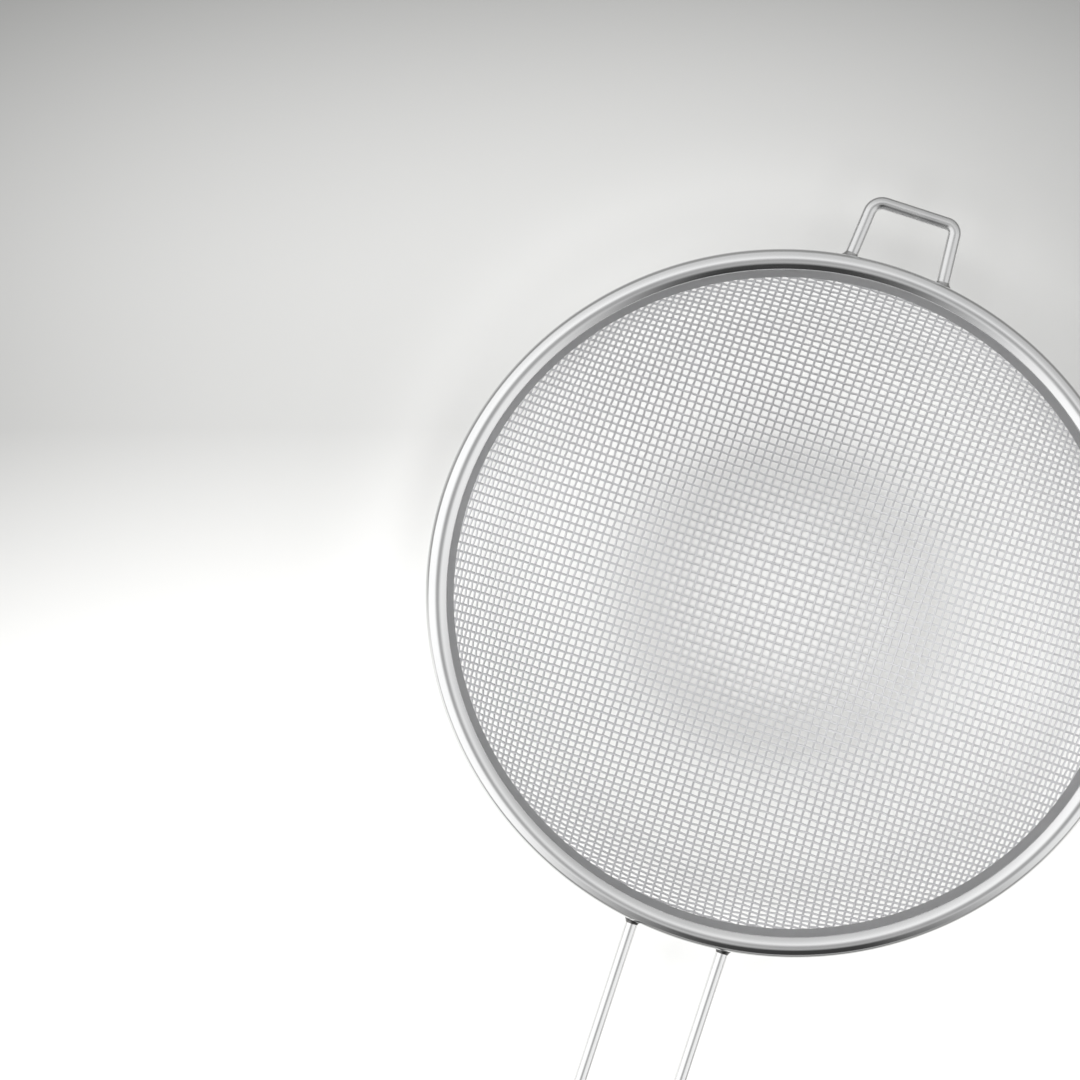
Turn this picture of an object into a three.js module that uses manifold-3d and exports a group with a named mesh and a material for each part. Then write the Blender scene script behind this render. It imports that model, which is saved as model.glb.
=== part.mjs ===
// Kitchen sieve: a woven wire bowl held in a rolled rim, with a bent wire hook in front and a wire handle behind.
// Millimetres, +Z up. The bowl stands on z = 0 with its mouth up, the hook points to +Y and the handle to -Y.
import * as THREE from 'three';
import { mergeVertices } from 'three/addons/utils/BufferGeometryUtils.js';
import loadManifold from 'manifold-3d';

// Rim: a little oval, wider across than from hook to handle
const rimRadius = 80;
const rimRadiusAlong = 77.7;
const beadRadius = 2.4;
const stripThickness = 0.5;
const skirtLength = 7;
const coreRadius = 1.5;

// Bowl
const wallSlope = THREE.MathUtils.degToRad(72.5);
const flatRadius = 60;
const flatShare = 0.15;
const bandPitch = 10.5;
const bandWidth = 1.6;
const bandThickness = 0.6;
const bandClearance = 0.3;
const clampReach = 3.8;

// Hook and handle
const wireRadius = 1.4;
const hookReach = 15;
const hookFootSpacing = 21.6;
const hookBarSpacing = 19;
const hookBend = 2.6;
const handleReach = 150;
const handleSpacing = 21;
const handleBend = 10;

// Joints between the pieces
const fitGap = 0.3;
const footStandoff = 1.2;
const weldLength = 4.2;
const weldSwell = 0.4;

// Smoothness
const rimSegments = 72;
const beadSegments = 16;
const boreSegments = 10;
const wireSides = 12;
const bendSegments = 8;

// Where things lie
const ovalShare = rimRadiusAlong / rimRadius;
const lean = Math.PI / 2 - wallSlope;
const beadCentreRadius = rimRadius - beadRadius;
const mouthRadius = beadCentreRadius - skirtLength * Math.sin(lean);
const sphereRadius = mouthRadius / Math.sin(wallSlope);
const sphereHeight = bandThickness + sphereRadius;
const mouthHeight = sphereHeight - sphereRadius * Math.cos(wallSlope);
const beadHeight = mouthHeight + skirtLength * Math.cos(lean);
const wireHeight = beadHeight - beadRadius - fitGap - wireRadius;
const bowlAxisY = (handleReach - hookReach) / 2;
const channelHalf = bandThickness + bandClearance;
const legHalf = channelHalf + stripThickness;

const solids = await loadManifold();
solids.setup();

const steel = (color, roughness) => new THREE.MeshStandardMaterial({ color, roughness, metalness: 1 });
const rimSteel = steel(0xc9cbcc, 0.22);
const coreSteel = steel(0x8f9193, 0.45);
const meshSteel = steel(0xb9bbbd, 0.35);
const wireSteel = steel(0xd0d2d3, 0.2);
const weldSteel = steel(0x6f7072, 0.5);

function geometryFrom(positions, indices) {
  const geometry = new THREE.BufferGeometry();
  geometry.setAttribute('position', new THREE.Float32BufferAttribute(positions, 3));
  geometry.setIndex(indices);
  return geometry;
}

// Rim section, drawn across and along the slope of the bowl wall from the bead's centre.
function sectionPoint(across, along) {
  const radius = beadCentreRadius + across * Math.cos(lean) - along * Math.sin(lean);
  const height = beadHeight - across * Math.sin(lean) - along * Math.cos(lean);
  return new THREE.Vector2(radius, height);
}

// A bead with two straight legs, walked from the outer leg's foot round to the inner leg's foot.
function keyholeOutline(radius, half, length, segments) {
  const start = Math.acos(half / radius);
  const sweep = Math.PI + 2 * start;
  const outline = [sectionPoint(half, length)];
  for (let k = 0; k <= segments; k += 1) {
    const angle = start - (sweep * k) / segments;
    outline.push(sectionPoint(radius * Math.cos(angle), radius * Math.sin(angle)));
  }
  outline.push(sectionPoint(-half, length));
  return outline;
}

function turned(outline) {
  const geometry = new THREE.LatheGeometry([...outline, outline[0]], rimSegments);
  return geometry.rotateX(Math.PI / 2).scale(1, ovalShare, 1);
}

function rimBand() {
  const outside = keyholeOutline(beadRadius, legHalf, skirtLength, beadSegments);
  const inside = keyholeOutline(beadRadius - stripThickness, channelHalf, skirtLength, boreSegments);
  return turned([...outside, ...inside.reverse()]);
}

function coreWire() {
  const hoop = new THREE.TorusGeometry(beadCentreRadius, coreRadius, wireSides, rimSegments);
  return hoop.scale(1, ovalShare, 1).translate(0, 0, beadHeight);
}

// Bowl: bands woven over and under, their crossings spaced evenly along every band as in draped cloth.
const bandStep = bandPitch / sphereRadius;
const clampAngle = wallSlope + clampReach / sphereRadius;
const crossingAngle = clampAngle - bandWidth / sphereRadius;
const netCount = Math.ceil(clampAngle / bandStep) + 1;
const net = new Map();

function netDirection(i, j) {
  const key = `${Math.abs(i)},${Math.abs(j)}`;
  if (!net.has(key)) net.set(key, quadrantDirection(Math.abs(i), Math.abs(j)));
  const direction = net.get(key).clone();
  direction.x *= Math.sign(i);
  direction.y *= Math.sign(j);
  return direction;
}

// Each new crossing mirrors the one diagonally behind it in the plane through its two neighbours.
function quadrantDirection(i, j) {
  if (i === 0 || j === 0) {
    const angle = (i + j) * bandStep;
    const out = Math.sin(angle);
    return new THREE.Vector3(i > 0 ? out : 0, j > 0 ? out : 0, -Math.cos(angle));
  }
  const behind = netDirection(i - 1, j - 1);
  const plane = netDirection(i - 1, j).cross(netDirection(i, j - 1)).normalize();
  return behind.addScaledVector(plane, -2 * behind.dot(plane)).normalize();
}

const polarAngle = (direction) => Math.acos(THREE.MathUtils.clamp(-direction.z, -1, 1));

// The wall is a ball with a flattened bottom, up to the rim's mouth, and runs straight on between the rim's legs.
function wallPoint(direction) {
  const angle = polarAngle(direction);
  const turn = Math.atan2(direction.y, direction.x);
  const bent = Math.min(angle, wallSlope);
  const straight = (angle - bent) * sphereRadius;
  const out = sphereRadius * Math.sin(bent);
  const rise = sphereRadius * (1 - Math.cos(bent));
  const share = flatShare + (1 - flatShare) * THREE.MathUtils.smoothstep(out, 0, flatRadius);
  const near = Math.min(out / flatRadius, 1);
  const shareSlope = ((1 - flatShare) * 6 * near * (1 - near)) / flatRadius;
  const slope = Math.atan(Math.tan(bent) * share + rise * shareSlope);
  const radius = out + straight * Math.sin(lean);
  const height = bandThickness + rise * share + straight * Math.cos(lean);
  return {
    point: new THREE.Vector3(radius * Math.cos(turn), radius * Math.sin(turn), height),
    normal: new THREE.Vector3(-Math.sin(slope) * Math.cos(turn), -Math.sin(slope) * Math.sin(turn), Math.cos(slope)),
  };
}

function tangent(from, to, normal) {
  const along = to.clone().sub(from);
  return along.addScaledVector(normal, -along.dot(normal)).normalize();
}

const sideSteps = [[1, 0], [0, 1], [-1, 0], [0, -1]];
const blockCorners = [[-1, -1], [1, -1], [1, 1], [-1, 1]];
const ringAcross = [-1, 1, 1, -1];
const ringUp = [-1, -1, 1, 1];

function meshBowl() {
  const positions = [];
  const indices = [];
  const crossings = new Map();

  function vertex(point) {
    positions.push(point.x, point.y, point.z);
    return positions.length / 3 - 1;
  }

  function quad(a, b, c, d) {
    indices.push(a, b, c, a, c, d);
  }

  // A crossing is a block of two layers, one for each band.
  function addCrossing(i, j) {
    const { point, normal } = wallPoint(netDirection(i, j));
    const place = (di, dj) => wallPoint(netDirection(i + di, j + dj)).point;
    const along = [tangent(place(-1, 0), place(1, 0), normal), tangent(place(0, -1), place(0, 1), normal)];
    const half = bandWidth / 2 / along[0].clone().cross(along[1]).length();
    const corners = new Map();
    for (const level of [-1, 0, 1]) {
      for (const [su, sv] of blockCorners) {
        const corner = point.clone().addScaledVector(along[0], su * half).addScaledVector(along[1], sv * half);
        corners.set(`${level},${su},${sv}`, vertex(corner.addScaledVector(normal, level * bandThickness)));
      }
    }
    crossings.set(`${i},${j}`, { i, j, corners });
  }

  // The four corners of one layer's face on one side, anticlockwise from outside.
  function faceLoop(crossing, [di, dj], base) {
    return ringAcross.map((across, k) => {
      const su = di - across * dj;
      const sv = dj + across * di;
      return crossing.corners.get(`${base + (ringUp[k] > 0 ? 1 : 0)},${su},${sv}`);
    });
  }

  function joinLoops(near, far) {
    near.forEach((a, k) => quad(a, near[(k + 1) % 4], far[(k + 1) % 4], far[k]));
  }

  // A cut end runs on towards the next crossing until it is deep enough between the rim's legs.
  function cutEnd(crossing, [di, dj], loop) {
    const from = netDirection(crossing.i, crossing.j);
    const to = netDirection(crossing.i + di, crossing.j + dj);
    const at = (share) => from.clone().lerp(to, share).normalize();
    let share = 0.7;
    while (share > 0 && polarAngle(at(share)) > clampAngle) share -= 0.01;
    const { point, normal } = wallPoint(at(share));
    const out = tangent(wallPoint(from).point, point, normal);
    if (share * bandPitch < bandWidth) {
      quad(...loop);
      return;
    }
    const across = normal.clone().cross(out);
    const end = ringAcross.map((side, k) => {
      const corner = point.clone().addScaledVector(across, (side * bandWidth) / 2);
      return vertex(corner.addScaledVector(normal, (ringUp[k] * bandThickness) / 2));
    });
    joinLoops(loop, end);
    quad(...end);
  }

  for (let i = -netCount; i <= netCount; i += 1) {
    for (let j = -netCount; j <= netCount; j += 1) {
      if (polarAngle(netDirection(i, j)) <= crossingAngle) addCrossing(i, j);
    }
  }

  const upperAlongX = (crossing) => (crossing.i + crossing.j) % 2 === 0;
  const layerBase = (crossing, alongX) => (upperAlongX(crossing) === alongX ? 0 : -1);

  for (const crossing of crossings.values()) {
    const ring = (level) => blockCorners.map(([su, sv]) => crossing.corners.get(`${level},${su},${sv}`));
    quad(...ring(1));
    quad(...ring(-1).reverse());
    for (const step of sideSteps) {
      const alongX = step[0] !== 0;
      const base = layerBase(crossing, alongX);
      const loop = faceLoop(crossing, step, base);
      quad(...faceLoop(crossing, step, -1 - base));
      const next = crossings.get(`${crossing.i + step[0]},${crossing.j + step[1]}`);
      if (!next) {
        cutEnd(crossing, step, loop);
      } else if (step[0] + step[1] > 0) {
        const facing = faceLoop(next, [-step[0], -step[1]], layerBase(next, alongX));
        joinLoops(loop, [facing[1], facing[0], facing[3], facing[2]]);
      }
    }
  }
  return geometryFrom(positions, indices).scale(1, ovalShare, 1);
}

// Bent wire: a flat path with rounded corners, swept with a many-sided section that has a flat underneath.
function roundedPath(corners, bend) {
  const path = [corners[0]];
  for (let k = 1; k < corners.length - 1; k += 1) {
    const toward = corners[k - 1].clone().sub(corners[k]).normalize();
    const away = corners[k + 1].clone().sub(corners[k]).normalize();
    const halfAngle = Math.acos(toward.dot(away)) / 2;
    const middle = toward.clone().add(away).normalize();
    const centre = corners[k].clone().addScaledVector(middle, bend / Math.sin(halfAngle));
    const first = corners[k].clone().addScaledVector(toward, bend / Math.tan(halfAngle)).sub(centre);
    const turn = Math.sign(toward.cross(away)) * -1 * (Math.PI - 2 * halfAngle);
    for (let s = 0; s <= bendSegments; s += 1) {
      path.push(first.clone().rotateAround(new THREE.Vector2(), (turn * s) / bendSegments).add(centre));
    }
  }
  path.push(corners[corners.length - 1]);
  return path;
}

function bentWire(path) {
  const positions = [];
  const indices = [];
  const reach = wireRadius / Math.cos(Math.PI / wireSides);
  path.forEach((point, k) => {
    const before = point.clone().sub(path[Math.max(k - 1, 0)]).normalize();
    const after = path[Math.min(k + 1, path.length - 1)].clone().sub(point).normalize();
    const along = before.clone().add(after).normalize();
    const widen = 1 / Math.max(along.dot(before), along.dot(after));
    for (let s = 0; s < wireSides; s += 1) {
      const angle = ((s + 0.5) * 2 * Math.PI) / wireSides;
      const aside = reach * widen * Math.cos(angle);
      positions.push(point.x - along.y * aside, point.y + along.x * aside, wireHeight + reach * Math.sin(angle));
    }
  });
  const last = (path.length - 1) * wireSides;
  for (let s = 0; s < wireSides; s += 1) {
    const t = (s + 1) % wireSides;
    for (let base = 0; base < last; base += wireSides) {
      indices.push(base + s, base + t, base + wireSides + t);
      indices.push(base + s, base + wireSides + t, base + wireSides + s);
    }
    if (s > 0 && s < wireSides - 1) {
      indices.push(0, t, s);
      indices.push(last, last + s, last + t);
    }
  }
  return geometryFrom(positions, indices);
}

// A wire foot stops just outside the rim's outline, so that the weld closes the way to the skirt.
function footPoint(x, towardY) {
  const edge = ovalShare * Math.sqrt(rimRadius ** 2 - x ** 2) + footStandoff;
  return new THREE.Vector2(x, towardY * edge);
}

function hookPath() {
  const barY = rimRadiusAlong + hookReach - wireRadius;
  const [foot, bar] = [hookFootSpacing / 2, hookBarSpacing / 2];
  const [left, right] = [new THREE.Vector2(-bar, barY), new THREE.Vector2(bar, barY)];
  const corners = [footPoint(-foot, 1), left, right, footPoint(foot, 1)];
  return roundedPath(corners, hookBend);
}

function handlePath() {
  const endY = -(rimRadiusAlong + handleReach - wireRadius);
  const half = handleSpacing / 2;
  const [right, left] = [new THREE.Vector2(half, endY), new THREE.Vector2(-half, endY)];
  const corners = [footPoint(half, -1), right, left, footPoint(-half, -1)];
  return roundedPath(corners, handleBend);
}

function toManifold(geometry) {
  const bare = geometry.clone();
  bare.deleteAttribute('normal');
  bare.deleteAttribute('uv');
  const merged = mergeVertices(bare, 1e-4);
  const vertProperties = new Float32Array(merged.attributes.position.array);
  const triVerts = new Uint32Array(merged.index.array);
  const mesh = new solids.Mesh({ numProp: 3, vertProperties, triVerts });
  mesh.merge();
  return new solids.Manifold(mesh);
}

// A weld swells from the wire's foot to the skirt, and its end follows the curve of the rim.
const rimEnvelope = toManifold(turned(keyholeOutline(
  beadRadius + fitGap,
  legHalf + fitGap,
  skirtLength + fitGap,
  beadSegments,
)));

function weldNugget(foot, next) {
  const inward = foot.clone().sub(next).normalize();
  const nugget = new THREE.CylinderGeometry(wireRadius + weldSwell, wireRadius, weldLength, wireSides);
  nugget.translate(0, weldLength / 2 + fitGap, 0);
  nugget.rotateZ(Math.atan2(-inward.x, inward.y));
  nugget.translate(foot.x, foot.y, wireHeight);
  const cut = toManifold(nugget).subtract(rimEnvelope).getMesh();
  return geometryFrom(Array.from(cut.vertProperties), Array.from(cut.triVerts));
}

const sieve = new THREE.Group();
sieve.name = 'kitchen_sieve';

function addPiece(name, geometry, material) {
  const piece = new THREE.Mesh(geometry.translate(0, bowlAxisY, 0), material);
  piece.name = name;
  sieve.add(piece);
}

const hook = hookPath();
const handle = handlePath();
addPiece('rim_band', rimBand(), rimSteel);
addPiece('rim_core_wire', coreWire(), coreSteel);
addPiece('mesh_bowl', meshBowl(), meshSteel);
addPiece('front_hook', bentWire(hook), wireSteel);
addPiece('handle_wire', bentWire(handle), wireSteel);
addPiece('weld_hook_left', weldNugget(hook[0], hook[1]), weldSteel);
addPiece('weld_hook_right', weldNugget(hook.at(-1), hook.at(-2)), weldSteel);
addPiece('weld_handle_left', weldNugget(handle.at(-1), handle.at(-2)), weldSteel);
addPiece('weld_handle_right', weldNugget(handle[0], handle[1]), weldSteel);

export default sieve;
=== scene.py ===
import math

import bpy
import numpy as np
from mathutils import Matrix, Vector


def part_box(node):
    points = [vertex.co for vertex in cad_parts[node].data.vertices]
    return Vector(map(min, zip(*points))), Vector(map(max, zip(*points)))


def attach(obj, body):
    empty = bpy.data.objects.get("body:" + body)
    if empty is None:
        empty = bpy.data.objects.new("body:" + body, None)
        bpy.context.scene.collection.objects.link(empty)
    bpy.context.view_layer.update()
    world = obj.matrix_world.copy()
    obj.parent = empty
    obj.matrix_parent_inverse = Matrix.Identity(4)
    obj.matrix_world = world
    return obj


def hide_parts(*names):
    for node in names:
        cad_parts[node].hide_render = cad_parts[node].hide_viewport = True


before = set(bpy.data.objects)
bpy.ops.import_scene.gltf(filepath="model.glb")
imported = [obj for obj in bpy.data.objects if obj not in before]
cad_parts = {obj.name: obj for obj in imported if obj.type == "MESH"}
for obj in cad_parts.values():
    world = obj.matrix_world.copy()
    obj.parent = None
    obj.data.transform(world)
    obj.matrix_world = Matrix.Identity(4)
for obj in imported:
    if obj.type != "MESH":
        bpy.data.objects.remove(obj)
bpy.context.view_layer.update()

MM = 0.001

# Rim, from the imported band: half sizes across and along the handle
rim_low, rim_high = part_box("rim_band")
RIM_RADIUS = (rim_high.x - rim_low.x) / 2
RIM_ALONG = (rim_high.y - rim_low.y) / 2
AXIS_Y = (rim_high.y + rim_low.y) / 2
OVAL = RIM_ALONG / RIM_RADIUS
RIM_SEGMENTS = 256

# Section of the rim: a bead on two legs that lean inwards, all rolled from one strip
STRIP = 0.5 * MM
SKIRT = 7.0 * MM
LEG_HALF = 1.4 * MM
LEAN = math.radians(17.5)
BEAD_RADIUS = 2.4 * MM
BEAD_CENTRE = RIM_RADIUS - BEAD_RADIUS
BEAD_HEIGHT = rim_high.z - BEAD_RADIUS
FOOT_SEGMENTS = 6

# Outside of the bead: a round outer arc, a flatter inner one and a tight corner above the inner leg
OUTER_RADIUS = 2.5 * MM
OUTER_START = math.radians(38)
OUTER_SEGMENTS = 24
SHOULDER_RADIUS = 3.15 * MM
SHOULDER_END = math.radians(48)
SHOULDER_SEGMENTS = 14
CORNER_RADIUS = 0.45 * MM
CORNER_TURN = math.radians(65)
CORNER_SEGMENTS = 8
HOLLOW_DEPTH = 0.7 * MM
HOLLOW_SEGMENTS = 5
INNER_LEG_TOP = 2.4 * MM

# Bore of the bead: an oval inside the curl of the strip
CURL_ACROSS = 2.52 * MM
CURL_ALONG = 2.3 * MM
CURL_HEIGHT = rim_high.z - math.hypot(CURL_ACROSS * math.sin(LEAN), CURL_ALONG * math.cos(LEAN))
BORE_RISE = (CURL_HEIGHT - BEAD_HEIGHT) * math.cos(LEAN)
BORE_START = math.radians(45)
BORE_SEGMENTS = 20

# Bowl of woven wire: a ball with a flattened bottom
WALL_SLOPE = math.pi / 2 - LEAN
BALL_RADIUS = (BEAD_CENTRE - SKIRT * math.sin(LEAN)) / math.sin(WALL_SLOPE)
FLAT_RADIUS = 60 * MM
FLAT_SHARE = 0.15
MESH_PITCH = 2.05 * MM
MESH_RADIUS = 0.28 * MM
MESH_CRIMP = 0.12 * MM
MESH_LOWEST = 2 * MESH_RADIUS
MESH_SIDES = 6
CLAMP_REACH = 3.6 * MM

# Hook and handle wire
WIRE_RADIUS = 1.4 * MM
WIRE_DROP = 0.3 * MM
WIRE_HEIGHT = BEAD_HEIGHT - BEAD_RADIUS - WIRE_DROP - WIRE_RADIUS
WIRE_SIDES = 24
BEND_SEGMENTS = 14
HOOK_REACH = 14.4 * MM
HOOK_FOOT = 10.8 * MM
HOOK_BAR = 9.5 * MM
HOOK_BENDS = (3.0 * MM, 2.2 * MM)
HANDLE_REACH = 150 * MM
HANDLE_HALF = 10.5 * MM
HANDLE_BEND = 10 * MM
FOOT_DEPTH = 1.8 * MM

# The photograph's camera: pixels of its 1080 pixel frame, and degrees from straight above
FRAME_PIXELS = 1080
FOCAL_PIXELS = 3500
SENSOR_WIDTH = 36.0
CLIP_START = 0.01
TILT_ACROSS = math.radians(-2.0)
TILT_ALONG = math.radians(0.0)
ROLL = math.radians(18.21)
RIM_PIXEL = (787.7, 603.1)
PIXELS_PER_METRE = 4531.0


# Shader helpers
def add_node(tree, kind, inputs=None, **settings):
    node = tree.nodes.new(kind)
    for name, value in settings.items():
        setattr(node, name, value)
    for key, value in (inputs or {}).items():
        if isinstance(value, bpy.types.NodeSocket):
            tree.links.new(value, node.inputs[key])
        else:
            node.inputs[key].default_value = value
    return node


def maths(tree, operation, *values):
    return add_node(tree, "ShaderNodeMath", dict(enumerate(values)), operation=operation).outputs[0]


def remap(tree, value, start, end, low=0.0, high=1.0):
    inputs = {"Value": value, "From Min": start, "From Max": end, "To Min": low, "To Max": high}
    return add_node(tree, "ShaderNodeMapRange", inputs, interpolation_type="SMOOTHSTEP").outputs["Result"]


def length(tree, first, second):
    squares = maths(tree, "ADD", maths(tree, "MULTIPLY", first, first), maths(tree, "MULTIPLY", second, second))
    return maths(tree, "SQRT", squares)


def turned_axes(tree, first, second, angle):
    cosine, sine = math.cos(angle), math.sin(angle)
    along = maths(tree, "ADD", maths(tree, "MULTIPLY", first, cosine), maths(tree, "MULTIPLY", second, sine))
    aside = maths(tree, "SUBTRACT", maths(tree, "MULTIPLY", second, cosine), maths(tree, "MULTIPLY", first, sine))
    return along, aside


def object_place(tree):
    return add_node(tree, "ShaderNodeTexCoord").outputs["Object"]


def object_axes(tree):
    split = add_node(tree, "ShaderNodeSeparateXYZ", {0: object_place(tree)})
    return split.outputs["X"], split.outputs["Y"], split.outputs["Z"]


def stretched(tree, axes, scales):
    inputs = {k: maths(tree, "MULTIPLY", axis, scale) for k, (axis, scale) in enumerate(zip(axes, scales))}
    return add_node(tree, "ShaderNodeCombineXYZ", inputs).outputs[0]


def noise(tree, vector, scale, detail, roughness=0.55):
    inputs = {"Vector": vector, "Scale": scale, "Detail": detail, "Roughness": roughness}
    return add_node(tree, "ShaderNodeTexNoise", inputs).outputs["Fac"]


def mixed(tree, factor, first, second):
    return add_node(tree, "ShaderNodeMix", {0: factor, 6: first, 7: second}, data_type="RGBA").outputs[2]


def colour_between(tree, factor, first, second):
    return mixed(tree, factor, (*first, 1.0), (*second, 1.0))


def new_material(name):
    material = bpy.data.materials.new(name)
    material.use_nodes = True
    material.node_tree.nodes.clear()
    return material, material.node_tree


# Finishes a steel; relief gives the strength and depth of its bumps
def metal(tree, colour, roughness, height, relief, metallic=1.0):
    bump = add_node(tree, "ShaderNodeBump", {"Strength": relief[0], "Distance": relief[1], "Height": height})
    inputs = {
        "Base Color": colour,
        "Metallic": metallic,
        "Roughness": roughness,
        "Normal": bump.outputs["Normal"],
    }
    shader = add_node(tree, "ShaderNodeBsdfPrincipled", inputs)
    add_node(tree, "ShaderNodeOutputMaterial", {"Surface": shader.outputs[0]})


# Where most of a noise lies
NOISE_RANGE = (0.3, 0.7)
HIGH_NOISE_RANGE = (0.35, 0.7)

# Bright strip: fine lines that run round the rim, soft smudges, and a rougher inner side, darkened below the bead
# as painted shade
RIM_COLOURS = ((0.67, 0.674, 0.68), (0.74, 0.74, 0.738))
RIM_LINES = (2600.0, 2600.0, 2.2)
RIM_LINE_ROUGHNESS = (0.05, 0.11)
RIM_SMUDGES = 90.0
RIM_SMUDGE_ROUGHNESS = (0.03, 0.09)
RIM_RELIEF = (0.08, 0.04 * MM)
# Inner side below the bead: its darker colours are painted shade
DULL_SHADED_COLOURS = ((0.42, 0.422, 0.426), (0.5, 0.5, 0.502))
DULL_ROUGHNESS = 0.25
DULL_SHADED_ACROSS = (-1.0 * MM, -1.2 * MM)
DULL_SHADED_ALONG = (-0.6 * MM, -0.3 * MM)


def rim_steel():
    material, tree = new_material("rim_steel_polished")
    x, y, z = object_axes(tree)
    y = maths(tree, "DIVIDE", maths(tree, "SUBTRACT", y, AXIS_Y), OVAL)
    radius = length(tree, x, y)
    angle = maths(tree, "ARCTAN2", x, y)
    lines = noise(tree, stretched(tree, (radius, z, angle), RIM_LINES), 1.0, 3.0)
    smudges = noise(tree, object_place(tree), RIM_SMUDGES, 4.0)
    out = maths(tree, "SUBTRACT", radius, BEAD_CENTRE)
    drop = maths(tree, "SUBTRACT", BEAD_HEIGHT, z)
    across, along = turned_axes(tree, out, drop, LEAN)
    # Mask for the inner side: rougher there, and darker as painted shade
    dull = maths(tree, "MULTIPLY", remap(tree, across, *DULL_SHADED_ACROSS), remap(tree, along, *DULL_SHADED_ALONG))
    bright_colour = colour_between(tree, smudges, *RIM_COLOURS)
    dull_shaded_colour = colour_between(tree, smudges, *DULL_SHADED_COLOURS)
    line_roughness = remap(tree, lines, *NOISE_RANGE, *RIM_LINE_ROUGHNESS)
    smudge_roughness = remap(tree, smudges, *HIGH_NOISE_RANGE, *RIM_SMUDGE_ROUGHNESS)
    roughness = maths(tree, "ADD", line_roughness, smudge_roughness)
    roughness = maths(tree, "ADD", roughness, maths(tree, "MULTIPLY", dull, DULL_ROUGHNESS))
    metal(tree, mixed(tree, dull, bright_colour, dull_shaded_colour), roughness, lines, RIM_RELIEF)
    return material


# Drawn wire, with faint die marks and handling haze; the hook's is rougher than the handle's, and its darker
# colours are painted shade
HANDLE_COLOURS = ((0.7, 0.702, 0.705), (0.77, 0.77, 0.768))
HANDLE_ROUGHNESS = (0.1, 0.2)
# The hook's colours, darker than the handle's: painted shade
HOOK_SHADED_COLOURS = ((0.54, 0.542, 0.545), (0.63, 0.63, 0.628))
HOOK_ROUGHNESS = (0.2, 0.32)
WIRE_MARKS = (3000.0, 60.0, 3000.0)
WIRE_HAZE = 140.0
WIRE_RELIEF = (0.06, 0.04 * MM)


def wire_steel(name, colours, shine):
    material, tree = new_material(name)
    marks = noise(tree, stretched(tree, object_axes(tree), WIRE_MARKS), 1.0, 2.0)
    haze = noise(tree, object_place(tree), WIRE_HAZE, 3.0)
    colour = colour_between(tree, haze, *colours)
    metal(tree, colour, remap(tree, haze, *NOISE_RANGE, *shine), marks, WIRE_RELIEF)
    return material


# Fine woven wire: duller where it was rubbed
MESH_COLOURS = ((0.69, 0.69, 0.702), (0.77, 0.77, 0.782))
MESH_PATCHES = 55.0
MESH_GRAIN = 1800.0
MESH_ROUGHNESS = (0.45, 0.57)
MESH_METALLIC = 0.85
MESH_RELIEF = (0.1, 0.03 * MM)


def mesh_steel():
    material, tree = new_material("mesh_steel_woven")
    place = object_place(tree)
    patches = noise(tree, place, MESH_PATCHES, 3.0)
    grain = noise(tree, place, MESH_GRAIN, 2.0)
    colour = colour_between(tree, patches, *MESH_COLOURS)
    roughness = remap(tree, grain, *NOISE_RANGE, *MESH_ROUGHNESS)
    metal(tree, colour, roughness, grain, MESH_RELIEF, MESH_METALLIC)
    return material


# Weld metal: dull, lumpy and darkened by heat; the handle's is darker than the hook's as painted shade where the
# wire meets the rim
# Handle's weld colours, darker than the hook's: painted shade
HANDLE_WELD_SHADED_COLOURS = ((0.1, 0.099, 0.098), (0.22, 0.218, 0.216))
HOOK_WELD_COLOURS = ((0.33, 0.33, 0.328), (0.46, 0.458, 0.455))
WELD_SCALE = 900.0
WELD_LUMPS = 1500.0
WELD_ROUGHNESS = (0.26, 0.4)
WELD_RELIEF = (0.25, 0.1 * MM)


def weld_steel(name, colours):
    material, tree = new_material(name)
    place = object_place(tree)
    scale = noise(tree, place, WELD_SCALE, 4.0, 0.65)
    lumps = noise(tree, place, WELD_LUMPS, 3.0)
    colour = colour_between(tree, remap(tree, scale, *HIGH_NOISE_RANGE), *colours)
    metal(tree, colour, remap(tree, lumps, *NOISE_RANGE, *WELD_ROUGHNESS), lumps, WELD_RELIEF)
    return material


# Plain wire inside the bead
CORE_COLOURS = ((0.5, 0.505, 0.51), (0.62, 0.62, 0.625))
CORE_MARKS = 700.0
CORE_ROUGHNESS = (0.35, 0.5)
CORE_RELIEF = (0.2, 0.1 * MM)


def core_steel():
    material, tree = new_material("core_steel_plain")
    marks = noise(tree, object_place(tree), CORE_MARKS, 3.0)
    colour = colour_between(tree, marks, *CORE_COLOURS)
    metal(tree, colour, remap(tree, marks, *NOISE_RANGE, *CORE_ROUGHNESS), marks, CORE_RELIEF)
    return material


# Mesh helpers
SHARP_EDGE = math.radians(60)


def new_piece(name, points, faces, material, slot, *nodes):
    mesh = bpy.data.meshes.new(name)
    mesh.from_pydata(np.asarray(points).tolist(), [], faces)
    mesh.shade_smooth()
    mesh.set_sharp_from_angle(angle=SHARP_EDGE)
    mesh.validate()
    mesh.update()
    mesh.materials.append(material)
    piece = bpy.data.objects.new(name, mesh)
    bpy.context.scene.collection.objects.link(piece)
    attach(piece, "root")
    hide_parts(*nodes)


def unit(vectors):
    return vectors / np.linalg.norm(vectors, axis=-1, keepdims=True)


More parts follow.
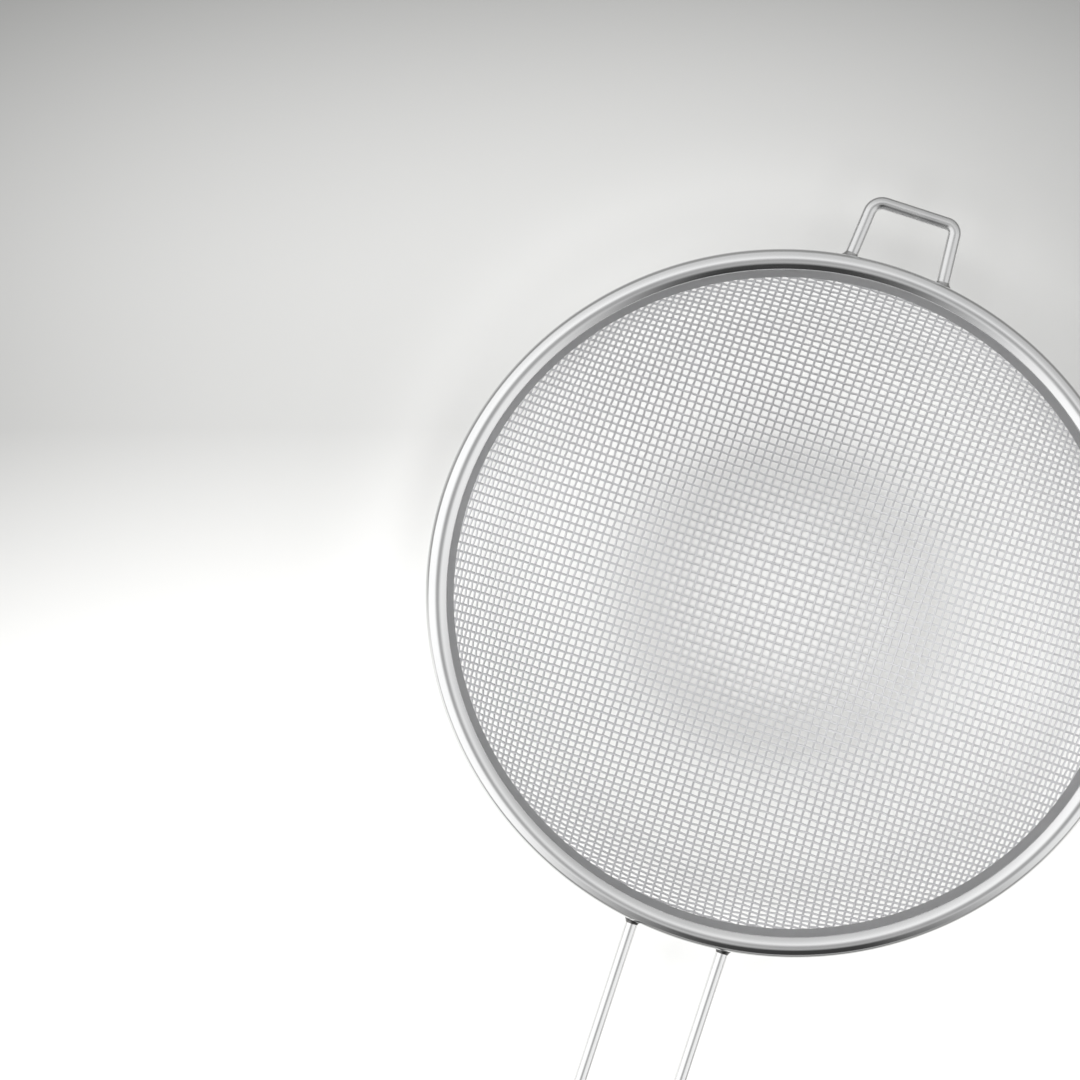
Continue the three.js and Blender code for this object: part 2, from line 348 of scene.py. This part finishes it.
# A tube along a row of points; up gives each ring's first direction
def tube(path, up, radius, sides):
    along = unit(np.gradient(path, axis=0))
    up = unit(up - along * np.sum(up * along, axis=1, keepdims=True))
    side = np.cross(along, up)
    turn = np.linspace(0, 2 * math.pi, sides, endpoint=False)
    ring = up[:, None] * np.cos(turn)[:, None] + side[:, None] * np.sin(turn)[:, None]
    points = path[:, None] + ring * np.reshape(radius, (-1, 1, 1))
    first = np.arange(len(path) - 1)[:, None] * sides
    here = np.arange(sides)
    there = np.roll(here, -1)
    quads = np.stack([first + here, first + there, first + sides + there, first + sides + here], axis=-1)
    last = (len(path) - 1) * sides
    ends = [list(range(sides))[::-1], list(range(last, last + sides))]
    return points.reshape(-1, 3), quads.reshape(-1, 4).tolist() + ends


# Rim section, as distances across the legs and down along them from the bead's middle
def section(across, along):
    radius = BEAD_CENTRE + across * math.cos(LEAN) - along * math.sin(LEAN)
    height = BEAD_HEIGHT - across * math.sin(LEAN) - along * math.cos(LEAN)
    return radius, height


# The same distances for a point given in from the rim's outer edge and down from its crest
def leaning(inward, down):
    out, drop = BEAD_RADIUS - inward, down - BEAD_RADIUS
    return out * math.cos(LEAN) + drop * math.sin(LEAN), drop * math.cos(LEAN) - out * math.sin(LEAN)


def arc(centre, across, along, start, end, segments):
    angles = [start + (end - start) * k / segments for k in range(segments + 1)]
    return [(centre[0] + across * math.cos(a), centre[1] + along * math.sin(a)) for a in angles]


# Outside of the bead, from its outer side over the crest to the inner leg
def bead_outline():
    crest, steep = math.pi / 2, SHOULDER_END
    outer_centre = (BEAD_RADIUS, OUTER_RADIUS)
    outer = arc(outer_centre, -OUTER_RADIUS, OUTER_RADIUS, OUTER_START, -crest, OUTER_SEGMENTS)
    shoulder_centre = (BEAD_RADIUS, SHOULDER_RADIUS)
    shoulder = arc(shoulder_centre, SHOULDER_RADIUS, -SHOULDER_RADIUS, crest, steep, SHOULDER_SEGMENTS)
    inward, down = shoulder[-1]
    corner_centre = (inward - CORNER_RADIUS * math.cos(steep), down + CORNER_RADIUS * math.sin(steep))
    corner = arc(corner_centre, CORNER_RADIUS, -CORNER_RADIUS, steep, steep - CORNER_TURN, CORNER_SEGMENTS)
    return [leaning(inward, down) for inward, down in outer + shoulder[1:] + corner[1:]]


# The whole strip, with a small hollow where the outer leg meets the bead
def rim_outline():
    foot = SKIRT - STRIP / 2
    bead = bead_outline()
    edge = bead[0]
    hollow = []
    for k in range(HOLLOW_SEGMENTS, 0, -1):
        share = k / HOLLOW_SEGMENTS
        across = LEG_HALF + (edge[0] - LEG_HALF) * (1 - share) ** 2
        hollow.append((across, edge[1] + HOLLOW_DEPTH * share))
    outside = [(LEG_HALF, foot)] + hollow + bead + [(-LEG_HALF, INNER_LEG_TOP), (-LEG_HALF, foot)]
    bore_size = CURL_ACROSS - STRIP, CURL_ALONG - STRIP
    bore = arc((0.0, -BORE_RISE), *bore_size, -math.pi - BORE_START, BORE_START, BORE_SEGMENTS)
    inner_half = LEG_HALF - STRIP
    inside = [(-inner_half, foot)] + bore + [(inner_half, foot)]
    half = STRIP / 2
    left_foot = arc((-LEG_HALF + half, foot), half, half, math.pi, 0, FOOT_SEGMENTS)[1:-1]
    right_foot = arc((LEG_HALF - half, foot), half, half, math.pi, 0, FOOT_SEGMENTS)[1:-1]
    return [section(across, along) for across, along in outside + left_foot + inside + right_foot]


# Turns an outline round the bowl's axis
def turned(outline, segments):
    outline = np.array(outline)
    turn = np.linspace(0, 2 * math.pi, segments, endpoint=False)
    x = outline[None, :, 0] * np.cos(turn)[:, None]
    y = outline[None, :, 0] * np.sin(turn)[:, None] * OVAL + AXIS_Y
    z = np.broadcast_to(outline[None, :, 1], x.shape)
    count = len(outline)
    here = np.arange(count)
    there = np.roll(here, -1)
    first = np.arange(segments)[:, None] * count
    after = np.roll(first, -1, axis=0)
    quads = np.stack([first + here, after + here, after + there, first + there], axis=-1)
    return np.stack([x, y, z], axis=-1).reshape(-1, 3), quads.reshape(-1, 4).tolist()


# Bowl: crossings are spaced evenly along every wire, as cloth drapes over a ball
def net_directions(count, step):
    net = np.zeros((count + 1, count + 1, 3))
    angles = np.arange(count + 1) * step
    net[:, 0] = np.stack([np.sin(angles), 0 * angles, -np.cos(angles)], axis=-1)
    net[0, :] = np.stack([0 * angles, np.sin(angles), -np.cos(angles)], axis=-1)
    for i in range(1, count + 1):
        for j in range(1, count + 1):
            behind = Vector(net[i - 1, j - 1])
            plane = Vector(net[i - 1, j]).cross(Vector(net[i, j - 1])).normalized()
            net[i, j] = (behind - plane * (2 * behind.dot(plane))).normalized()
    return net


# Places and normals on the wall: the ball, flattened near its bottom, and the straight part in the clamp
def wall(directions):
    angle = np.arccos(np.clip(-directions[:, 2], -1, 1))
    turn = np.arctan2(directions[:, 1], directions[:, 0])
    bent = np.minimum(angle, WALL_SLOPE)
    straight = (angle - bent) * BALL_RADIUS
    out = BALL_RADIUS * np.sin(bent)
    rise = BALL_RADIUS * (1 - np.cos(bent))
    near = np.minimum(out / FLAT_RADIUS, 1.0)
    share = FLAT_SHARE + (1 - FLAT_SHARE) * near * near * (3 - 2 * near)
    share_slope = (1 - FLAT_SHARE) * 6 * near * (1 - near) / FLAT_RADIUS
    slope = np.arctan(np.tan(bent) * share + rise * share_slope)
    radius = out + straight * math.sin(LEAN)
    height = MESH_LOWEST + rise * share + straight * math.cos(LEAN)
    points = np.stack([radius * np.cos(turn), radius * np.sin(turn) * OVAL + AXIS_Y, height], axis=-1)
    normals = np.stack([-np.sin(slope) * np.cos(turn), -np.sin(slope) * np.sin(turn), np.cos(slope)], axis=-1)
    return points, normals


# All wires of one direction, each over and under the crossing ones in turn
def woven_wires(net, along_x):
    limit = -math.cos(WALL_SLOPE + CLAMP_REACH / BALL_RADIUS)
    count = len(net) - 1
    all_points, all_faces, base = [], [], 0
    for fixed in range(-count, count + 1):
        row = net[:, abs(fixed)] if along_x else net[abs(fixed), :]
        inside = row[:, 2] <= limit
        steps = int(np.argmin(inside)) if not inside.all() else len(row)
        if steps < 3:
            continue
        moving = np.arange(1 - steps, steps)
        crossing = row[np.abs(moving)]
        crossing[:, 0 if along_x else 1] *= np.sign(moving)
        crossing[:, 1 if along_x else 0] *= np.sign(fixed)
        over = np.where((moving + fixed) % 2 == 0, 1.0, -1.0) * (1.0 if along_x else -1.0)
        directions = np.zeros((2 * len(moving) - 1, 3))
        directions[::2] = crossing
        directions[1::2] = unit(crossing[:-1] + crossing[1:])
        lift = np.zeros(len(directions))
        lift[::2] = over * MESH_CRIMP
        points, normals = wall(directions)
        points, faces = tube(points + normals * lift[:, None], normals, MESH_RADIUS, MESH_SIDES)
        all_points.append(points)
        all_faces.extend([[corner + base for corner in face] for face in faces])
        base += len(points)
    return np.concatenate(all_points), all_faces


# Bent wire: a flat path with rounded corners
def rounded_path(corners, bends):
    path = [corners[0]]
    for k in range(1, len(corners) - 1):
        toward = (corners[k - 1] - corners[k]).normalized()
        away = (corners[k + 1] - corners[k]).normalized()
        half = math.acos(max(-1.0, min(1.0, toward.dot(away)))) / 2
        centre = corners[k] + (toward + away).normalized() * (bends[k - 1] / math.sin(half))
        first = corners[k] + toward * (bends[k - 1] / math.tan(half)) - centre
        sense = -math.copysign(1.0, toward.x * away.y - toward.y * away.x)
        for s in range(BEND_SEGMENTS + 1):
            turn = Matrix.Rotation(sense * (math.pi - 2 * half) * s / BEND_SEGMENTS, 2)
            path.append(turn @ first + centre)
    path.append(corners[-1])
    return np.array([(p.x, p.y + AXIS_Y, WIRE_HEIGHT) for p in path])


def foot_point(x, toward):
    return Vector((x, toward * (OVAL * math.sqrt(RIM_RADIUS ** 2 - x ** 2) - FOOT_DEPTH)))


def hook_path():
    bar = RIM_ALONG + HOOK_REACH - WIRE_RADIUS
    left, right = Vector((-HOOK_BAR, bar)), Vector((HOOK_BAR, bar))
    return rounded_path([foot_point(-HOOK_FOOT, 1), left, right, foot_point(HOOK_FOOT, 1)], HOOK_BENDS)


def handle_path():
    end = -(RIM_ALONG + HANDLE_REACH - WIRE_RADIUS)
    right, left = Vector((HANDLE_HALF, end)), Vector((-HANDLE_HALF, end))
    corners = [foot_point(HANDLE_HALF, -1), right, left, foot_point(-HANDLE_HALF, -1)]
    return rounded_path(corners, (HANDLE_BEND, HANDLE_BEND))


def level_tube(path, radius):
    return tube(path, np.tile((0.0, 0.0, 1.0), (len(path), 1)), radius, WIRE_SIDES)


# Weld: a collar on the end of the wire that swells towards the skirt, as distances from the end and radii, in mm
WELD_PROFILE = ((3.0, 1.38), (2.7, 1.46), (2.4, 1.62), (2.1, 1.86), (1.7, 2.08), (1.0, 2.18), (-0.4, 2.2))


def weld_collar(foot, following):
    outward = unit(following - foot)
    path = np.array([foot + outward * (along * MM) for along, _ in WELD_PROFILE])
    return level_tube(path, np.array([radius * MM for _, radius in WELD_PROFILE]))


# Build the pieces
rim_material = rim_steel()
handle_material = wire_steel("wire_steel_drawn", HANDLE_COLOURS, HANDLE_ROUGHNESS)
# The hook's wire material, darkened as painted shade
hook_shaded_material = wire_steel("hook_steel_drawn_shaded", HOOK_SHADED_COLOURS, HOOK_ROUGHNESS)
mesh_material = mesh_steel()
# Handle's weld material, darkened as painted shade
handle_weld_shaded_material = weld_steel("weld_steel_dull", HANDLE_WELD_SHADED_COLOURS)
hook_weld_material = weld_steel("hook_weld_steel_dull", HOOK_WELD_COLOURS)

new_piece("rim_strip", *turned(rim_outline(), RIM_SEGMENTS), rim_material, "rim_steel", "rim_band")
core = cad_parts["rim_core_wire"]
core.data.materials.clear()
core.data.materials.append(core_steel())

mesh_step = MESH_PITCH / BALL_RADIUS
mesh_count = math.ceil((WALL_SLOPE + CLAMP_REACH / BALL_RADIUS) / mesh_step) + 1
mesh_net = net_directions(mesh_count, mesh_step)
new_piece("weave_across", *woven_wires(mesh_net, True), mesh_material, "mesh_steel", "mesh_bowl")
new_piece("weave_along", *woven_wires(mesh_net, False), mesh_material, "mesh_steel", "mesh_bowl")

hook = hook_path()
handle = handle_path()
new_piece("hook_wire", *level_tube(hook, WIRE_RADIUS), hook_shaded_material, "wire_steel", "front_hook")
new_piece("handle_hairpin", *level_tube(handle, WIRE_RADIUS), handle_material, "wire_steel", "handle_wire")
for name, foot, following, material in (
    ("hook_left", hook[0], hook[1], hook_weld_material),
    ("hook_right", hook[-1], hook[-2], hook_weld_material),
    ("handle_left", handle[-1], handle[-2], handle_weld_shaded_material),
    ("handle_right", handle[0], handle[1], handle_weld_shaded_material),
):
    new_piece("weld_bead_" + name, *weld_collar(foot, following), material, "weld_steel", "weld_" + name)


# Camera, aimed so that the rim's middle falls on its place in the frame; gives the picture's right
def photo_camera():
    back = Vector((math.tan(TILT_ACROSS), math.tan(TILT_ALONG), 1.0)).normalized()
    along = Vector((0.0, 1.0, 0.0))
    along = (along - back * along.dot(back)).normalized()
    across = (-back).cross(along)
    up = along * math.cos(ROLL) - across * math.sin(ROLL)
    right = across * math.cos(ROLL) + along * math.sin(ROLL)
    level = Matrix((right, up, back)).transposed()
    middle = FRAME_PIXELS / 2
    ray = Vector(((RIM_PIXEL[0] - middle) / FOCAL_PIXELS, (middle - RIM_PIXEL[1]) / FOCAL_PIXELS, -1.0))
    swing = Vector((0.0, 0.0, -1.0)).rotation_difference(ray.normalized()).inverted()
    data = bpy.data.cameras.new("photo_camera")
    data.sensor_width = SENSOR_WIDTH
    data.lens = SENSOR_WIDTH * FOCAL_PIXELS / FRAME_PIXELS
    data.clip_start = CLIP_START
    camera = bpy.data.objects.new("photo_camera", data)
    place = Vector((0.0, AXIS_Y, BEAD_HEIGHT)) + back * (FOCAL_PIXELS / PIXELS_PER_METRE)
    camera.matrix_world = Matrix.Translation(place) @ (level @ swing.to_matrix()).to_4x4()
    bpy.context.scene.collection.objects.link(camera)
    bpy.context.scene.camera = camera
    return right


# Floor: white, with a grey sweep behind the sieve and grey outside the picture, painted light by the rim, and
# painted shade under the bowl and on the handle's side; its axes turn with the picture
FLOOR_HALF = 6.0
FLOOR_GLOW = 0.3
FLOOR_COLOUR = 0.9
FLOOR_WARMTH = 0.985
FLOOR_ROUGHNESS = 0.8
FLOOR_FULL = 1.46

# The sweep: brightest at its middle, falling off sideways and towards the picture's top, over a white pool
SWEEP_LEVEL = 0.79
SWEEP_MIDDLE = -0.055
SWEEP_WIDTH = 0.144
SWEEP_FALL = 0.225
SWEEP_WIDEST = 1.6
TOP_START = 0.07
TOP_REACH = 0.07
TOP_POWER = 1.8
TOP_FALL = 0.34
TOP_MOST = 1.5
POOL_EDGE = 0.042
POOL_GAIN = 7.6

# Changes by place: from and to a distance in metres, with the shade at each
# Painted light: the floor lifted next to the rim, over the sieve's own shadow
RIM_PAINTED_LIGHT = (0.085, 0.118, 1.1, 1.0)
# Painted shade: the floor darkened beyond the handle's side, for the rim's edge to reflect
HANDLE_SIDE_PAINTED_SHADE = (-0.2, -0.118, 0.2, 0.83)
FAR_OFF_LEAST = (0.26, 0.42, 0.2, 0.36)
BOWL_EDGE = (0.07, 0.082)
# Painted shade under the bowl: darkest at its bottom's middle, lighter towards the bowl's edge
UNDER_BOWL_PAINTED_SHADE = (0.03, 0.06, 0.97, 1.09)


def floor_shade(tree, across, up, away):
    wide = maths(tree, "DIVIDE", maths(tree, "SUBTRACT", across, SWEEP_MIDDLE), SWEEP_WIDTH)
    wide = maths(tree, "MINIMUM", maths(tree, "MULTIPLY", wide, wide), SWEEP_WIDEST)
    high = maths(tree, "DIVIDE", maths(tree, "SUBTRACT", up, TOP_START), TOP_REACH)
    high = maths(tree, "POWER", maths(tree, "MAXIMUM", high, 0.0), TOP_POWER)
    high = maths(tree, "MINIMUM", high, TOP_MOST)
    sweep = maths(tree, "MULTIPLY_ADD", wide, -SWEEP_FALL, SWEEP_LEVEL)
    sweep = maths(tree, "MULTIPLY", sweep, maths(tree, "MULTIPLY_ADD", high, -TOP_FALL, 1.0))
    pool = maths(tree, "MULTIPLY", maths(tree, "SUBTRACT", POOL_EDGE, up), POOL_GAIN)
    pool = maths(tree, "MAXIMUM", pool, 0.0)
    shade = maths(tree, "DIVIDE", maths(tree, "ADD", sweep, pool), FLOOR_FULL)
    # Painted light next to the rim
    shade = maths(tree, "MULTIPLY", shade, remap(tree, away, *RIM_PAINTED_LIGHT))
    # Painted shade on the handle's side
    shade = maths(tree, "MINIMUM", shade, remap(tree, up, *HANDLE_SIDE_PAINTED_SHADE))
    return maths(tree, "MAXIMUM", shade, remap(tree, away, *FAR_OFF_LEAST))


def floor_material():
    material, tree = new_material("floor_pale")
    across, up, _ = object_axes(tree)
    away = length(tree, across, up)
    beside = remap(tree, away, *BOWL_EDGE)
    beneath = maths(tree, "SUBTRACT", 1.0, beside)
    shade_beside = maths(tree, "MULTIPLY", floor_shade(tree, across, up, away), beside)
    # Painted shade under the bowl
    shade_beneath = maths(tree, "MULTIPLY", beneath, remap(tree, away, *UNDER_BOWL_PAINTED_SHADE))
    tone = maths(tree, "MULTIPLY", maths(tree, "ADD", shade_beside, shade_beneath), FLOOR_COLOUR)
    blue = maths(tree, "MULTIPLY", tone, FLOOR_WARMTH)
    colour = add_node(tree, "ShaderNodeCombineColor", {0: tone, 1: tone, 2: blue}).outputs[0]
    path = add_node(tree, "ShaderNodeLightPath")
    seen = maths(tree, "MAXIMUM", path.outputs["Is Camera Ray"], path.outputs["Is Glossy Ray"])
    seen = maths(tree, "MAXIMUM", seen, path.outputs["Is Transmission Ray"])
    glow = maths(tree, "MULTIPLY", maths(tree, "MULTIPLY", seen, beside), FLOOR_GLOW / FLOOR_COLOUR)
    inputs = {
        "Base Color": colour,
        "Roughness": FLOOR_ROUGHNESS,
        "Specular IOR Level": 0.0,
        "Emission Color": colour,
        "Emission Strength": glow,
    }
    shader = add_node(tree, "ShaderNodeBsdfPrincipled", inputs)
    add_node(tree, "ShaderNodeOutputMaterial", {"Surface": shader.outputs[0]})
    return material


def pale_floor(right):
    corners = [(x * FLOOR_HALF, y * FLOOR_HALF, 0) for x, y in ((-1, -1), (1, -1), (1, 1), (-1, 1))]
    mesh = bpy.data.meshes.new("floor")
    mesh.from_pydata(corners, [], [(0, 1, 2, 3)])
    mesh.materials.append(floor_material())
    floor = bpy.data.objects.new("floor", mesh)
    floor.location = (-BEAD_HEIGHT * math.tan(TILT_ACROSS), AXIS_Y - BEAD_HEIGHT * math.tan(TILT_ALONG), 0.0)
    floor.rotation_euler = (0.0, 0.0, math.atan2(right.y, right.x))
    bpy.context.scene.collection.objects.link(floor)


# Soft studio light all round: strongest from the left, dim overhead, with a dark flag on the handle's side
LEFT_LEVEL = 1.41
RIGHT_LEVEL = 1.15
SIDE_EDGE = 0.7
FRONT_EDGE = (0.03, 0.93)
FRONT_SHARE = 0.585
OVERHEAD_MIDDLE = (0.12, -0.05)
OVERHEAD_EDGE = (0.08, 0.5)
OVERHEAD_SHARE = 0.4
FLAG_TURN = math.radians(-71)
FLAG_EDGE = (math.radians(10), math.radians(54))
FLAG_RISE = (math.radians(6), math.radians(43))
FLAG_DEPTH = 0.95


# How fully the flag covers the directions x, y: all of it near its middle, none past its edges
def flag_cover(tree, x, y):
    toward, aside = turned_axes(tree, x, y, FLAG_TURN)
    turn = maths(tree, "ARCTAN2", maths(tree, "ABSOLUTE", aside), toward)
    return remap(tree, turn, *FLAG_EDGE, 1.0, 0.0)


def studio_world():
    world = bpy.data.worlds.new("studio")
    world.use_nodes = True
    tree = world.node_tree
    tree.nodes.clear()
    place = add_node(tree, "ShaderNodeTexCoord").outputs["Generated"]
    x, y, z = add_node(tree, "ShaderNodeSeparateXYZ", {0: place}).outputs
    side = remap(tree, x, -SIDE_EDGE, SIDE_EDGE, LEFT_LEVEL, RIGHT_LEVEL)
    front = remap(tree, y, *FRONT_EDGE, 1.0, FRONT_SHARE)
    off_x = maths(tree, "SUBTRACT", x, OVERHEAD_MIDDLE[0])
    off_y = maths(tree, "SUBTRACT", y, OVERHEAD_MIDDLE[1])
    overhead = remap(tree, length(tree, off_x, off_y), *OVERHEAD_EDGE, OVERHEAD_SHARE, 1.0)
    from_top = maths(tree, "ARCCOSINE", z)
    flag = maths(tree, "MULTIPLY", flag_cover(tree, x, y), remap(tree, from_top, *FLAG_RISE))
    level = maths(tree, "MULTIPLY", maths(tree, "MULTIPLY", side, front), overhead)
    strength = maths(tree, "MULTIPLY", level, maths(tree, "MULTIPLY_ADD", flag, -FLAG_DEPTH, 1.0))
    light = add_node(tree, "ShaderNodeBackground", {"Color": (1.0, 1.0, 1.0, 1.0), "Strength": strength})
    add_node(tree, "ShaderNodeOutputWorld", {"Surface": light.outputs[0]})
    bpy.context.scene.world = world


# Four soft lamps round the camera, for the floor and the mesh; polished metal shows the studio instead
LAMP_LEVEL = 0.44
LAMP_SIZE = 0.15
LAMP_HEIGHT = 1.0
LAMP_SPREAD = math.radians(8)
LAMP_CORNERS = ((-1, -1), (-1, 1), (1, -1), (1, 1))


def soft_lamps():
    for across, along in LAMP_CORNERS:
        data = bpy.data.lights.new("soft_lamp", "AREA")
        data.shape = "DISK"
        data.size = LAMP_SIZE
        data.energy = LAMP_LEVEL / len(LAMP_CORNERS) * math.pi ** 2
        lamp = bpy.data.objects.new("soft_lamp", data)
        x = LAMP_HEIGHT * math.tan(TILT_ACROSS + across * LAMP_SPREAD)
        y = LAMP_HEIGHT * math.tan(TILT_ALONG + along * LAMP_SPREAD) + AXIS_Y
        lamp.location = (x, y, LAMP_HEIGHT)
        aim = Vector((0.0, AXIS_Y, 0.0)) - lamp.location
        lamp.rotation_euler = aim.to_track_quat("-Z", "Y").to_euler()
        lamp.visible_glossy = False
        bpy.context.scene.collection.objects.link(lamp)


picture_right = photo_camera()
pale_floor(picture_right)
studio_world()
soft_lamps()
bpy.context.scene.view_settings.view_transform = "Standard"
